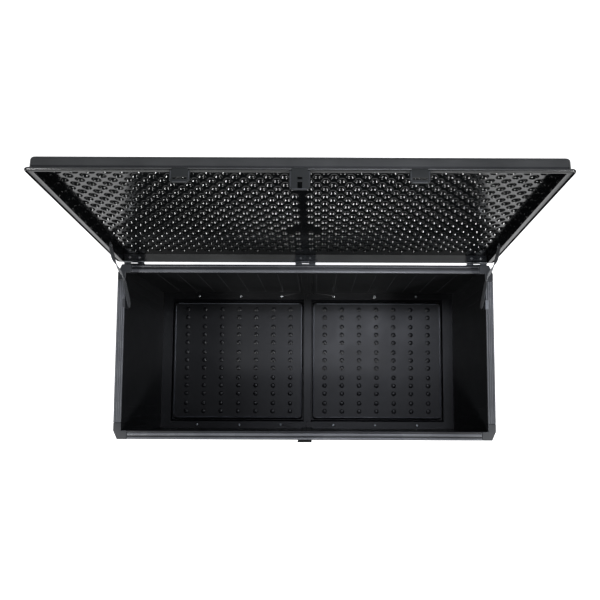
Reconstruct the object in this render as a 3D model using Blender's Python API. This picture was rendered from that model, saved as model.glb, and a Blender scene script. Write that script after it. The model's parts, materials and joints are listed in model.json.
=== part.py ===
"""Deck storage box with a hinged double-skin lid, modelled as separate moulded and metal pieces.

Frame: origin at the centre of the footprint on the ground, +X to the right of a person who faces
the box, +Y to the rear where the hinges are, +Z up.  The lid is modelled closed, in a frame whose
origin is on the hinge axis, and an empty on that axis swings it open.
"""
import math

import bmesh
import bpy
from mathutils import Matrix, Vector

# ---- driving dimensions, metres ----
RIM_WIDTH = 1.178
RIM_DEPTH = 0.546
RIM_HEIGHT = 0.490
CORNER_CUT_X = 0.012
CORNER_CUT_Y = 0.027
FIT = 0.0003

LEDGE_HEIGHT = 0.055
PLINTH_RISE = 0.025
SKIN = 0.0032
MOAT_DEPTH = 0.0130
MOAT_FLAT = 0.0016
MOAT_SIDE = 0.009
MOAT_END = 0.014
SIDE_LEDGE = 0.0390
END_LEDGE = 0.0265
TREAD_CORNER = 0.011
JOINER_WIDTH = 0.031
JOINER_GAP = 0.0063
SEAM_OFFSET = -0.0040
UNDERSIDE_SKIN = 0.0040
UNDERSIDE_RIB = 0.005
UNDERSIDE_CELLS_X = 6
UNDERSIDE_CELLS_Y = 5

PLANK_PITCH = 0.0667
GROOVE_WIDTH = 0.0040
GROOVE_DEPTH = 0.0011
END_WALL = 0.0045
SIDE_WALL = 0.0178
SIDE_CELL_SKIN = 0.0030
CORNER_GROOVES = (0.025, 0.0575, 0.090)

RAIL_WIDTH = 0.027
RAIL_HEIGHT = 0.030
RAIL_INNER_LEG = 0.016
RAIL_WEB = 0.0030
CAP_REACH_X = 0.043
CAP_REACH_Y = 0.051

POST_WIDTH = 0.040
POST_FLANGE = 0.0030
POST_RIB = 0.0050
POST_WEB = 0.0024

HINGE_BACK = 0.0085
HINGE_RISE = 0.0010
HINGE_SIDE_GAP = 0.0034
HINGE_WIDTH = 0.063
LEAF_THICKNESS = 0.0024
LEAF_HEIGHT = 0.024
KNUCKLE_RADIUS = 0.0044
PIN_RADIUS = 0.0020
PIN_CLEARANCE = 0.0002
KNUCKLE_GAP = 0.0005
LEAF_SCREW_SPACING = 0.029

LID_OPEN_DEG = 96.3
LID_OVERHANG_SIDE = 0.0040
LID_OVERHANG_FRONT = 0.0035
LID_LIP_OUT = 0.0070
LID_LIP_HEIGHT = 0.0070
LID_SKIRT = 0.0030
LID_SIDE_RIM = 0.0126
LID_TOP_ROUND = 0.0090
LID_LIP_ROUND = 0.0032
LID_HEIGHT = 0.038
LID_TOP_SKIN = 0.0030
LID_CORNER = 0.012
LID_INNER_CORNER = 0.0045
LID_REAR_CLEAR = 0.0052
LID_PANEL_RISE = 0.026
LID_PANEL_SKIN = 0.0026
LID_PANEL_RIM = 0.012
LID_TOP_GROOVE_MARGIN = 0.030

LATCH_WIDTH = 0.045
LATCH_DROP = 0.045
LATCH_THICKNESS = 0.0024
LATCH_TONGUE_WIDTH = 0.034
LATCH_TONGUE = 0.0045
LATCH_CORNER = 0.006
LATCH_INSET = 0.0003
SMALL_WINDOW = (0.0105, 0.0072, -0.0175)
LARGE_WINDOW = (0.0100, 0.0160, -0.0335)
TAB_OFFSET = 0.256
TAB_WIDTH = 0.044
TAB_DROP = 0.029
TAB_SLOT = (0.030, 0.0045, -0.0185)

KEEPER_WIDTH = 0.044
KEEPER_PLATE = 0.0030
KEEPER_PLAY = 0.0023
KEEPER_TOP_BELOW_RIM = 0.014
KEEPER_FLOOR = 0.014
KEEPER_FLOOR_GAP = 0.004

STRAP_WIDTH = 0.025
STRAP_THICKNESS = 0.0020
STRAP_LID_BACK = 0.105
STRAP_LID_RISE = 0.0095
STRAP_WALL_BACK = 0.1325
STRAP_WALL_DROP = 0.0170
STRAP_TAIL = 0.010
STRAP_SIDE_STAND_OFF = 0.0006
STRAP_STATIONS = 22
STRAP_TWIST_DEG = 42
STRAP_TWIST_SPAN = (0.20, 0.64)
BRACKET_LENGTH = 0.028
BRACKET_SKIN = 0.0010
BRACKET_TOP = 0.008

SCREW_HEAD = 0.0040
SCREW_HEAD_HEIGHT = 0.0020
SCREW_SHANK = 0.0018
SCREW_HOLE_CLEARANCE = 0.0003
FLOOR_SCREW_X = (0.1021, 0.2626, 0.4263)

# ---- sizes that follow from the ones above ----
HALF_W = RIM_WIDTH / 2
HALF_D = RIM_DEPTH / 2
WALL_OUT = SKIN + FIT
SIDE_INNER = HALF_W - WALL_OUT - SIDE_WALL
END_INNER = HALF_D - WALL_OUT - END_WALL
WALL_FOOT = LEDGE_HEIGHT + FIT
WALL_TOP = RIM_HEIGHT - RAIL_WEB - FIT
RAIL_FOOT = RIM_HEIGHT - RAIL_HEIGHT
MOAT_SLOPE_X = (MOAT_SIDE - MOAT_FLAT) / 2
MOAT_SLOPE_Y = (MOAT_END - MOAT_FLAT) / 2
HINGE_Y = HALF_D + HINGE_BACK
HINGE_Z = RIM_HEIGHT + HINGE_RISE
LID_OPEN = math.radians(LID_OPEN_DEG)
LIP_HALF_W = HALF_W + LID_OVERHANG_SIDE
LIP_FRONT = -(HALF_D + LID_OVERHANG_FRONT) - HINGE_Y
SKIRT_HALF_W = LIP_HALF_W - LID_LIP_OUT
SKIRT_FRONT = LIP_FRONT + LID_LIP_OUT
SKIRT_INNER_W = SKIRT_HALF_W - LID_SIDE_RIM
HINGE_OFFSET = SKIRT_INNER_W - HINGE_WIDTH / 2 - HINGE_SIDE_GAP
SKIRT_INNER_FRONT = SKIRT_FRONT + LID_SKIRT
SKIRT_INNER_REAR = LID_REAR_CLEAR
SKIRT_REAR = LID_REAR_CLEAR + LID_SKIRT
LATCH_FRONT = LIP_FRONT + LATCH_INSET
LATCH_BACK = LATCH_FRONT + LATCH_THICKNESS


# ---- small modelling helpers ----
def clear_scene():
    for old in list(bpy.data.objects):
        bpy.data.objects.remove(old, do_unlink=True)


def material(name, colour, roughness, metallic=0.0):
    made = bpy.data.materials.new(name)
    made.use_nodes = True
    shader = made.node_tree.nodes["Principled BSDF"]
    shader.inputs["Base Color"].default_value = (*colour, 1.0)
    shader.inputs["Roughness"].default_value = roughness
    shader.inputs["Metallic"].default_value = metallic
    made.diffuse_color = (*colour, 1.0)
    return made


def finish(name, bm, finish_of=None, parent=None):
    """Turn a bmesh into a linked object with outward faces."""
    bmesh.ops.remove_doubles(bm, verts=bm.verts, dist=1e-6)
    bmesh.ops.recalc_face_normals(bm, faces=bm.faces)
    mesh = bpy.data.meshes.new(name)
    bm.to_mesh(mesh)
    bm.free()
    made = bpy.data.objects.new(name, mesh)
    bpy.context.scene.collection.objects.link(made)
    made.parent = parent
    if finish_of is not None:
        mesh.materials.append(finish_of)
    return made


def place(point, axis, along):
    """Put an outline point in space: axis is the way the outline is extruded."""
    u, v = point
    if axis == "x":
        return Vector((along, u, v))
    if axis == "y":
        return Vector((u, along, v))
    return Vector((u, v, along))


def add_prism(bm, outline, axis, start, end):
    """Extrude a closed outline: (y, z) along x, (x, z) along y or (x, y) along z."""
    face = bm.faces.new([bm.verts.new(place(p, axis, start)) for p in outline])
    extruded = bmesh.ops.extrude_face_region(bm, geom=[face])
    moved = [item for item in extruded["geom"] if isinstance(item, bmesh.types.BMVert)]
    bmesh.ops.translate(bm, verts=moved, vec=place((0, 0), axis, end - start))


def prism(name, outline, axis, start, end, finish_of=None, parent=None):
    bm = bmesh.new()
    add_prism(bm, outline, axis, start, end)
    return finish(name, bm, finish_of, parent)


def frustum(name, lower, low, upper, high, carry_down):
    """A cutter whose section changes evenly from one outline to another, carried on above its
    top and, where asked, below its foot."""
    spare = 0.25 * (high - low)
    bm = bmesh.new()
    rings = []
    levels = [(lower, low), (upper, high), (upper, high + (spare * 2 if carry_down else spare))]
    if carry_down:
        levels.insert(0, (lower, low - spare))
    for outline, level in levels:
        rings.append([bm.verts.new((u, v, level)) for u, v in outline])
    for first, second in zip(rings, rings[1:]):
        for k in range(len(first)):
            after = (k + 1) % len(first)
            bm.faces.new((first[k], first[after], second[after], second[k]))
    bm.faces.new(list(reversed(rings[0])))
    bm.faces.new(rings[-1])
    return finish(name, bm)


def add_box(bm, low, high):
    add_prism(bm, rectangle(low[0], high[0], low[1], high[1]), "z", low[2], high[2])


def add_cylinder(bm, centre, axis, radius, length, sides=16):
    """A cylinder whose middle is at centre, along x, y or z."""
    turn = {"x": Matrix.Rotation(math.pi / 2, 4, "Y"), "y": Matrix.Rotation(math.pi / 2, 4, "X"),
            "z": Matrix.Identity(4)}[axis]
    bmesh.ops.create_cone(bm, cap_ends=True, segments=sides, radius1=radius, radius2=radius,
                          depth=length, matrix=Matrix.Translation(centre) @ turn)


def rectangle(x0, x1, y0, y1):
    return [(x0, y0), (x1, y0), (x1, y1), (x0, y1)]


def rounded_rectangle(x0, x1, y0, y1, radius, steps=5):
    outline = []
    corners = ((x1, y0, -90), (x1, y1, 0), (x0, y1, 90), (x0, y0, 180))
    for x, y, start in corners:
        cx = x - math.copysign(radius, x - (x0 + x1) / 2)
        cy = y - math.copysign(radius, y - (y0 + y1) / 2)
        for step in range(steps + 1):
            angle = math.radians(start + 90 * step / steps)
            outline.append((cx + radius * math.cos(angle), cy + radius * math.sin(angle)))
    return outline


def inset(outline, distance):
    """Move every side of a counter-clockwise outline inward."""
    moved = []
    count = len(outline)
    for i in range(count):
        before, here, after = (Vector(outline[i - 1]), Vector(outline[i]),
                               Vector(outline[(i + 1) % count]))
        first = (here - before).normalized()
        second = (after - here).normalized()
        inward = Vector((-first.y, first.x))
        turn = first.cross(second)
        slide = (first.dot(second) - 1) / turn if abs(turn) > 1e-9 else 0.0
        corner = here + distance * inward + distance * slide * first
        moved.append((corner.x, corner.y))
    return moved


def footprint(distance=0.0):
    """The plan outline of the rim with its cut corners, moved inward by a distance."""
    w, d, cx, cy = HALF_W, HALF_D, CORNER_CUT_X, CORNER_CUT_Y
    corners = [(-w + cx, -d), (w - cx, -d), (w, -d + cy), (w, d - cy),
               (w - cx, d), (-w + cx, d), (-w, d - cy), (-w, -d + cy)]
    return inset(corners, distance)


def boolean(target, tool, operation="DIFFERENCE"):
    cut = target.modifiers.new(operation.title(), "BOOLEAN")
    cut.operation = operation
    cut.solver = "EXACT"
    cut.object = tool
    tool.hide_render = True
    tool.display_type = "WIRE"
    return target


def tool_from(name, fill, parent=None):
    """A cutter made of one or more closed shapes; fill adds them to an empty bmesh."""
    bm = bmesh.new()
    fill(bm)
    return finish(name, bm, None, parent)


def round_off(target, width, segments=2, angle_deg=50):
    soft = target.modifiers.new("Round", "BEVEL")
    soft.width = width
    soft.segments = segments
    soft.limit_method = "ANGLE"
    soft.angle_limit = math.radians(angle_deg)
    return target


def grooved_line(start, end, level, centres, inward):
    """Points along a straight side at v = level, with a V groove at each centre."""
    way = 1 if end > start else -1
    points = [(start, level)]
    for centre in sorted(centres, reverse=way < 0):
        points.append((centre - way * GROOVE_WIDTH / 2, level))
        points.append((centre, level + inward * GROOVE_DEPTH))
        points.append((centre + way * GROOVE_WIDTH / 2, level))
    points.append((end, level))
    return points


def mirrored(outline):
    return [(-u, v) for u, v in reversed(outline)]


def turned_half(outline):
    """The outline turned half a turn about the origin."""
    return [(-u, -v) for u, v in outline]


def plank_centres(limit):
    """Groove places along X that are clear of the centre post, up to a limit."""
    first = POST_WIDTH / 2 + 0.012
    count = int((limit - first) / PLANK_PITCH) + 1
    return [first + PLANK_PITCH * i for i in range(count)]


# ---- screws ----
def axis_of(way):
    return "xyz"[[abs(c) > 0.5 for c in way].index(True)]


def screw(name, seat, way, length, finish_of, parent=None, head=SCREW_HEAD):
    """A pan head screw spun about its own axis: seat is on the surface, way points out of it."""
    seat = Vector(seat)
    out = Vector(way)
    across = Vector((1, 0, 0)) if axis_of(way) == "z" else Vector((0, 0, 1))
    section = [(0.0, FIT + SCREW_HEAD_HEIGHT), (head * 0.75, FIT + SCREW_HEAD_HEIGHT),
               (head, FIT + SCREW_HEAD_HEIGHT * 0.5), (head, FIT), (SCREW_SHANK, FIT),
               (SCREW_SHANK, -length), (0.0, -length)]
    bm = bmesh.new()
    verts = [bm.verts.new(seat + across * r + out * h) for r, h in section]
    edges = [bm.edges.new((verts[i], verts[i + 1])) for i in range(len(verts) - 1)]
    bmesh.ops.spin(bm, geom=verts + edges, cent=seat, axis=out, dvec=(0, 0, 0),
                   angle=math.tau, steps=10, use_merge=True, use_duplicate=False)
    return finish(name, bm, finish_of, parent)


def screws(name, seats, way, length, finish_of, parent=None):
    """A row of identical screws, each its own piece with a number at the end of its name."""
    for number, seat in enumerate(seats, 1):
        screw(f"{name}_{number}", seat, way, length, finish_of, parent)


def drill(target, seats, way, length, parent=None, radius=SCREW_SHANK):
    """Cut clearance holes for screws into a piece."""
    def fill(bm):
        for seat in seats:
            add_cylinder(bm, Vector(seat), axis_of(way), radius + SCREW_HOLE_CLEARANCE, 2 * length, 10)
    return boolean(target, tool_from(target.name + "_drill", fill, parent))


# ---- base ----
def floor_screw_seats(rear):
    y = END_INNER - END_LEDGE / 2
    return [(s * x, y if rear else -y, LEDGE_HEIGHT) for s in (-1, 1) for x in FLOOR_SCREW_X]


def tread_limits():
    """The raised tread of the right half: x0, x1 and half its depth."""
    x0 = JOINER_WIDTH / 2 + JOINER_GAP
    x1 = SIDE_INNER - SIDE_LEDGE - MOAT_SIDE
    return x0, x1, END_INNER - END_LEDGE - MOAT_END


def base_panel(name, side, finish_of):
    """Half of the floor: a ribbed moulding with a plinth round its outside and a raised tread."""
    seam = FIT + side * SEAM_OFFSET
    half = [p for p in footprint() if p[0] > 0]
    outline = [(seam, -HALF_D)] + half + [(seam, HALF_D)]
    inner = [p for p in footprint(SKIN) if p[0] > 0]
    room = [(-0.01, -HALF_D + SKIN)] + inner + [(-0.01, HALF_D - SKIN)]
    x0, x1, y1 = tread_limits()
    moat_x1 = x1 + MOAT_SIDE
    moat_y1 = y1 + MOAT_END
    tread = rounded_rectangle(x0, x1, -y1, y1, TREAD_CORNER, 2)

    def flip(points):
        return points if side > 0 else mirrored(points)

    panel = prism(name, flip(outline), "z", 0.0, LEDGE_HEIGHT + PLINTH_RISE, finish_of)

    def fill_room(bm):
        add_prism(bm, flip(room), "z", LEDGE_HEIGHT, LEDGE_HEIGHT + PLINTH_RISE + 0.01)
    boolean(panel, tool_from(name + "_room", fill_room))

    deep = LEDGE_HEIGHT - MOAT_DEPTH
    wide = rectangle(-0.01, moat_x1, -moat_y1, moat_y1)
    narrow = rectangle(-0.01, moat_x1 - MOAT_SLOPE_X, -moat_y1 + MOAT_SLOPE_Y, moat_y1 - MOAT_SLOPE_Y)
    foot = rounded_rectangle(x0 - JOINER_GAP / 2, x1 + MOAT_SLOPE_X, -y1 - MOAT_SLOPE_Y, y1 + MOAT_SLOPE_Y,
                             TREAD_CORNER, 2)
    moat = frustum(name + "_moat", flip(narrow), deep, flip(wide), LEDGE_HEIGHT, False)
    keep = frustum(name + "_tread", flip(foot), deep, flip(tread), LEDGE_HEIGHT, True)
    boolean(moat, keep)
    boolean(panel, moat)

    cell_x = (HALF_W - 2 * UNDERSIDE_RIB - CORNER_CUT_X) / UNDERSIDE_CELLS_X
    cell_y = (RIM_DEPTH - 2 * UNDERSIDE_RIB) / UNDERSIDE_CELLS_Y
    low_roof = LEDGE_HEIGHT - MOAT_DEPTH - UNDERSIDE_SKIN
    high_roof = LEDGE_HEIGHT - UNDERSIDE_SKIN

    def fill_cells(bm):
        for i in range(UNDERSIDE_CELLS_X):
            for j in range(UNDERSIDE_CELLS_Y):
                left = UNDERSIDE_RIB * 1.5 + cell_x * i
                near = -HALF_D + UNDERSIDE_RIB * 1.5 + cell_y * j
                right = left + cell_x - UNDERSIDE_RIB
                far = near + cell_y - UNDERSIDE_RIB
                add_prism(bm, flip(rectangle(left, right, near, far)), "z", -0.01, low_roof)

    def fill_high_cells(bm):
        for i in range(UNDERSIDE_CELLS_X):
            for j in range(UNDERSIDE_CELLS_Y):
                left = max(UNDERSIDE_RIB * 1.5 + cell_x * i, x0 + UNDERSIDE_SKIN)
                near = max(-HALF_D + UNDERSIDE_RIB * 1.5 + cell_y * j, -y1 + UNDERSIDE_SKIN)
                right = min(UNDERSIDE_RIB * 0.5 + cell_x * (i + 1), x1 - UNDERSIDE_SKIN)
                far = min(-HALF_D + UNDERSIDE_RIB * 0.5 + cell_y * (j + 1), y1 - UNDERSIDE_SKIN)
                if right > left and far > near:
                    add_prism(bm, flip(rectangle(left, right, near, far)), "z", -0.012, high_roof)
    boolean(panel, tool_from(name + "_cells", fill_cells))
    boolean(panel, tool_from(name + "_high_cells", fill_high_cells))
    seats = [s for rear in (False, True) for s in floor_screw_seats(rear) if s[0] * side > 0]
    drill(panel, seats, (0, 0, 1), LEDGE_HEIGHT - low_roof + 0.002)
    return panel


def base_joiner(finish_of):
    """The strip that covers the seam between the two floor halves."""
    half = JOINER_WIDTH / 2
    top = LEDGE_HEIGHT + 0.0010
    foot = LEDGE_HEIGHT - MOAT_DEPTH + FIT
    edge = 0.0015
    outline = [(-half, foot), (half, foot), (half, top - edge), (half - edge, top),
               (-half + edge, top), (-half, top - edge)]
    reach = END_INNER - END_LEDGE - FIT
    joiner = prism("base_centre_joiner", outline, "y", -reach, reach, finish_of)
    for vertex in joiner.data.vertices:
        if vertex.co.z < LEDGE_HEIGHT - MOAT_DEPTH / 2:
            vertex.co.y -= math.copysign(MOAT_SLOPE_Y, vertex.co.y)
    return joiner


# ---- walls ----
def end_wall(name, side, rear, finish_of):
    """One half of the front or rear wall, with a plank groove on both faces at each pitch."""
    x0 = POST_WEB / 2 + FIT
    x1 = SIDE_INNER - FIT
    centres = plank_centres(x1 - GROOVE_WIDTH)
    outer = HALF_D - WALL_OUT
    outline = (grooved_line(x0, x1, -outer, centres, 1)
               + grooved_line(x1, x0, -END_INNER, centres, -1))
    if rear:
        outline = [(u, -v) for u, v in reversed(outline)]
    if side < 0:
        outline = mirrored(outline)
    return prism(name, outline, "z", WALL_FOOT, WALL_TOP, finish_of)


def end_post(name, rear, finish_of):
    """The ribbed post that joins the two halves of a front or rear wall, a T in plan."""
    web = POST_WEB / 2
    face = -END_INNER + FIT
    outer = -(HALF_D - WALL_OUT)
    half = POST_WIDTH / 2
    lip = 0.004
    outline = [(-web, outer), (web, outer), (web, face), (half, face), (half, face + POST_RIB),
               (half - lip, face + POST_RIB), (half - lip, face + POST_FLANGE),
               (lip, face + POST_FLANGE), (lip, face + POST_RIB), (-lip, face + POST_RIB),
               (-lip, face + POST_FLANGE), (-half + lip, face + POST_FLANGE),
               (-half + lip, face + POST_RIB), (-half, face + POST_RIB), (-half, face),
               (-web, face)]
    if rear:
        outline = turned_half(outline)
    top = RAIL_FOOT + RAIL_HEIGHT - rail_web_depth() - FIT
    return prism(name, outline, "z", WALL_FOOT, top, finish_of)


def side_wall(name, side, finish_of):
    """A twin-wall panel: planks outside, plain inside with a few grooves by its corners."""
    shell = footprint(WALL_OUT)
    right = [p for p in shell if p[0] > 0]
    reach = right[1][1]
    count = int((abs(reach) - GROOVE_WIDTH) / PLANK_PITCH)
    outer_centres = [PLANK_PITCH * i for i in range(-count, count + 1)]
    inner_centres = [s * (END_INNER - back) for s in (-1, 1) for back in CORNER_GROOVES]
    outer = [(x, y) for y, x in grooved_line(reach, right[2][1], right[1][0], outer_centres, -1)]
    inner = [(x, y) for y, x in
             grooved_line(HALF_D - WALL_OUT, -HALF_D + WALL_OUT, SIDE_INNER, inner_centres, 1)]
    outline = inner[-1:] + right[:1] + outer + right[3:] + inner[:-1]
    if side < 0:
        outline = mirrored(outline)
    wall = prism(name, outline, "z", WALL_FOOT, WALL_TOP, finish_of)

    def fill(bm):
        for i in range(-count - 1, count + 1):
            y = PLANK_PITCH * (i + 0.5)
            half = PLANK_PITCH / 2 - SIDE_CELL_SKIN
            if abs(y) + half > abs(reach) - SIDE_CELL_SKIN:
                continue
            cell = rectangle(SIDE_INNER + SIDE_CELL_SKIN,
                             SIDE_INNER + SIDE_WALL - SIDE_CELL_SKIN, y - half, y + half)
            add_prism(bm, cell if side > 0 else mirrored(cell), "z",
                      WALL_FOOT - 0.01, WALL_TOP + 0.01)
    return boolean(wall, tool_from(name + "_cells", fill))


# ---- rails and corner caps ----
def rail_web_depth():
    return RAIL_HEIGHT * 0.7


def rail_top(u0, u1):
    """The grooved top of a rail from u1 back to u0, with a rounded bead at each edge."""
    bead = 0.0012
    span = u1 - u0
    points = [(u1, RIM_HEIGHT - bead), (u1 - bead, RIM_HEIGHT)]
    for share in (0.72, 0.36):
        centre = u0 + span * share
        points += [(centre + 0.0012, RIM_HEIGHT), (centre, RIM_HEIGHT - 0.0010),
                   (centre - 0.0012, RIM_HEIGHT)]
    points += [(u0 + bead, RIM_HEIGHT), (u0, RIM_HEIGHT - bead)]
    return points


def end_rail_section():
    """(v, z) section of the front or rear rail, v measured inward from its outer face."""
    wall_in = WALL_OUT + END_WALL + FIT
    roof = RIM_HEIGHT - RAIL_WEB
    web_foot = RIM_HEIGHT - rail_web_depth()
    lower = [(0.0, RAIL_FOOT), (SKIN, RAIL_FOOT), (SKIN, roof), (wall_in, roof),
             (wall_in, web_foot), (wall_in + RAIL_WEB, web_foot), (wall_in + RAIL_WEB, roof),
             (RAIL_WIDTH - SKIN, roof), (RAIL_WIDTH - SKIN, RIM_HEIGHT - RAIL_INNER_LEG),
             (RAIL_WIDTH, RIM_HEIGHT - RAIL_INNER_LEG)]
    return lower + rail_top(0.0, RAIL_WIDTH)


def side_rail_width():
    return 2 * (SKIN + FIT) + SIDE_WALL


def side_rail_section():
    width = side_rail_width()
    roof = RIM_HEIGHT - RAIL_WEB
    lower = [(0.0, RAIL_FOOT), (SKIN, RAIL_FOOT), (SKIN, roof), (width - SKIN, roof),
             (width - SKIN, RAIL_FOOT), (width, RAIL_FOOT)]
    return lower + rail_top(0.0, width)


def end_rail(name, rear, finish_of):
    reach = HALF_W - CAP_REACH_X - FIT
    if rear:
        outline = [(HALF_D - v, z) for v, z in end_rail_section()]
    else:
        outline = [(v - HALF_D, z) for v, z in end_rail_section()]
    return prism(name, outline, "x", -reach, reach, finish_of)


def side_rail(name, side, finish_of):
    reach = HALF_D - CAP_REACH_Y - FIT
    outline = [(side * (HALF_W - v), z) for v, z in side_rail_section()]
    return prism(name, outline, "y", -reach, reach, finish_of)


def corner_cap(name, side, rear, finish_of):
    """An L-shaped cap that covers the ends of two rails and the corner of the walls."""
    width = side_rail_width()
    x0 = HALF_W - CAP_REACH_X
    y0 = HALF_D - CAP_REACH_Y
    outline = [(x0, -HALF_D), (HALF_W - CORNER_CUT_X, -HALF_D),
               (HALF_W, -HALF_D + CORNER_CUT_Y), (HALF_W, -y0), (HALF_W - width, -y0),
               (HALF_W - width, -HALF_D + RAIL_WIDTH), (x0, -HALF_D + RAIL_WIDTH)]
    channel = inset(outline, SKIN)
    ends = 0.01
    channel = [(x0 - ends, channel[0][1]), channel[1], channel[2], (channel[3][0], -y0 + ends),
               (channel[4][0], -y0 + ends), channel[5], (x0 - ends, channel[6][1])]

    def turn(points):
        if rear:
            points = [(u, -v) for u, v in reversed(points)]
        return points if side > 0 else mirrored(points)

    cap = prism(name, turn(outline), "z", RAIL_FOOT, RIM_HEIGHT, finish_of)
    round_off(cap, 0.0012, 1, 60)

    def fill(bm):
        add_prism(bm, turn(channel), "z", RAIL_FOOT - 0.01, RIM_HEIGHT - RAIL_WEB)
    return boolean(cap, tool_from(name + "_channel", fill))


# ---- hinges ----
def knuckle_spans():
    """X spans, from the hinge's middle, of the three knuckles."""
    third = HINGE_WIDTH / 3
    gap = KNUCKLE_GAP / 2
    return [(-1.5 * third, -0.5 * third - gap), (-0.5 * third + gap, 0.5 * third - gap),
            (0.5 * third + gap, 1.5 * third)]


def leaf_screw_offsets():
    return (-LEAF_SCREW_SPACING / 2, LEAF_SCREW_SPACING / 2)


def hinge_leaf(name, x, centre, plate_low, plate_high, wing_low, wing_high, spans, finish_of,
               parent):
    """A leaf: a plate, its knuckles round the axis at centre, and wings that carry them."""
    bm = bmesh.new()
    add_box(bm, plate_low, plate_high)
    leaf = finish(name, bm, finish_of, parent)

    def fill_wings(bm):
        for low, high in spans:
            add_box(bm, (x + low, wing_low[0], wing_low[1]), (x + high, wing_high[0], wing_high[1]))

    def fill_knuckles(bm):
        for low, high in spans:
            add_cylinder(bm, Vector((x + (low + high) / 2, *centre)), "x", KNUCKLE_RADIUS,
                         high - low)

    def fill_bore(bm):
        add_cylinder(bm, Vector((x, *centre)), "x", PIN_RADIUS + PIN_CLEARANCE,
                     HINGE_WIDTH + 0.01)
    boolean(leaf, tool_from(name + "_wings", fill_wings, parent), "UNION")
    boolean(leaf, tool_from(name + "_knuckles", fill_knuckles, parent), "UNION")
    return boolean(leaf, tool_from(name + "_bore", fill_bore, parent))


def hinge(side_name, x, steel, lid):
    """A pinned hinge: the box leaf is on the rear rail, the lid leaf inside the lid's rear skirt."""
    spans = knuckle_spans()
    half = HINGE_WIDTH / 2
    face = HALF_D + FIT
    foot = HINGE_Z - LEAF_HEIGHT - KNUCKLE_RADIUS * 0.5
    box_leaf = hinge_leaf(
        side_name + "_hinge_box_leaf", x, (HINGE_Y, HINGE_Z),
        (x - half, face, foot), (x + half, face + LEAF_THICKNESS, HINGE_Z - 0.002),
        (face + LEAF_THICKNESS / 2, HINGE_Z - 0.0042), (HINGE_Y, HINGE_Z - 0.0024),
        [spans[0], spans[2]], steel, None)
    seats = [(x + o, face + LEAF_THICKNESS, foot + LEAF_HEIGHT * 0.45)
             for o in leaf_screw_offsets()]
    drill(box_leaf, seats, (0, 1, 0), LEAF_THICKNESS * 2)
    plate_back = SKIRT_INNER_REAR - FIT
    plate_foot = KNUCKLE_RADIUS + 2 * FIT
    lid_leaf = hinge_leaf(
        side_name + "_hinge_lid_leaf", x, (0.0, 0.0),
        (x - half, plate_back - LEAF_THICKNESS, plate_foot), (x + half, plate_back, LEAF_HEIGHT),
        (0.0, 0.0024), (plate_back - LEAF_THICKNESS / 2, plate_foot + 0.0016),
        [spans[1]], steel, lid)
    drill(lid_leaf, lid_leaf_seats(x), (0, 1, 0), LEAF_THICKNESS * 2, lid)
    bm = bmesh.new()
    add_cylinder(bm, Vector((x, HINGE_Y, HINGE_Z)), "x", PIN_RADIUS, HINGE_WIDTH + 0.003)
    finish(side_name + "_hinge_pin", bm, steel)
    return seats


def lid_leaf_seats(x):
    y = SKIRT_INNER_REAR - FIT - LEAF_THICKNESS
    return [(x + o, y, LEAF_HEIGHT * 0.60) for o in leaf_screw_offsets()]


# ---- lid ----
def lid_pivot():
    pivot = bpy.data.objects.new("lid_pivot", None)
    bpy.context.scene.collection.objects.link(pivot)
    pivot.location = (0.0, HINGE_Y, HINGE_Z)
    pivot.rotation_euler = (-LID_OPEN, 0.0, 0.0)
    return pivot


def lid_shell(finish_of, lid, latch_slots, screw_seats):
    """The outer skin of the lid with its skirt and the lip round its lower edge."""
    shell = prism("lid_outer_shell",
                  rounded_rectangle(-SKIRT_HALF_W, SKIRT_HALF_W, SKIRT_FRONT, SKIRT_REAR,
                                    LID_CORNER), "z", 0.0, LID_HEIGHT, finish_of, lid)
    round_off(shell, LID_TOP_ROUND, 4, 60)
    lip_rear = SKIRT_REAR
    lip = prism("lid_lip_tool",
                rounded_rectangle(-LIP_HALF_W, LIP_HALF_W, LIP_FRONT, lip_rear, LID_CORNER),
                "z", 0.0, LID_LIP_HEIGHT, None, lid)
    round_off(lip, LID_LIP_ROUND, 3, 60)
    boolean(shell, lip, "UNION")
    cavity = prism("lid_cavity_tool",
                   rounded_rectangle(-SKIRT_INNER_W, SKIRT_INNER_W, SKIRT_INNER_FRONT,
                                     SKIRT_INNER_REAR, LID_INNER_CORNER),
                   "z", -0.01, LID_HEIGHT - LID_TOP_SKIN, None, lid)
    boolean(shell, cavity)
    front = SKIRT_FRONT + LID_TOP_GROOVE_MARGIN
    rear = SKIRT_REAR - LID_TOP_GROOVE_MARGIN
    centres = [s * x for x in plank_centres(SKIRT_HALF_W - 0.03) for s in (-1, 1)]

    def fill_grooves(bm):
        for x in centres:
            section = [(x - GROOVE_WIDTH / 2, LID_HEIGHT + 0.0005), (x, LID_HEIGHT - GROOVE_DEPTH),
                       (x + GROOVE_WIDTH / 2, LID_HEIGHT + 0.0005)]
            add_prism(bm, section, "y", front, rear)
    boolean(shell, tool_from("lid_groove_tool", fill_grooves, lid))

    def fill_slots(bm):
        for x, width in latch_slots:
            add_box(bm, (x - width / 2 - FIT, LATCH_FRONT - FIT, -0.01),
                    (x + width / 2 + FIT, LATCH_BACK + FIT, LATCH_TONGUE + FIT))
    boolean(shell, tool_from("lid_slot_tool", fill_slots, lid))
    return drill(shell, screw_seats, (0, 1, 0), 0.02, lid)


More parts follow.
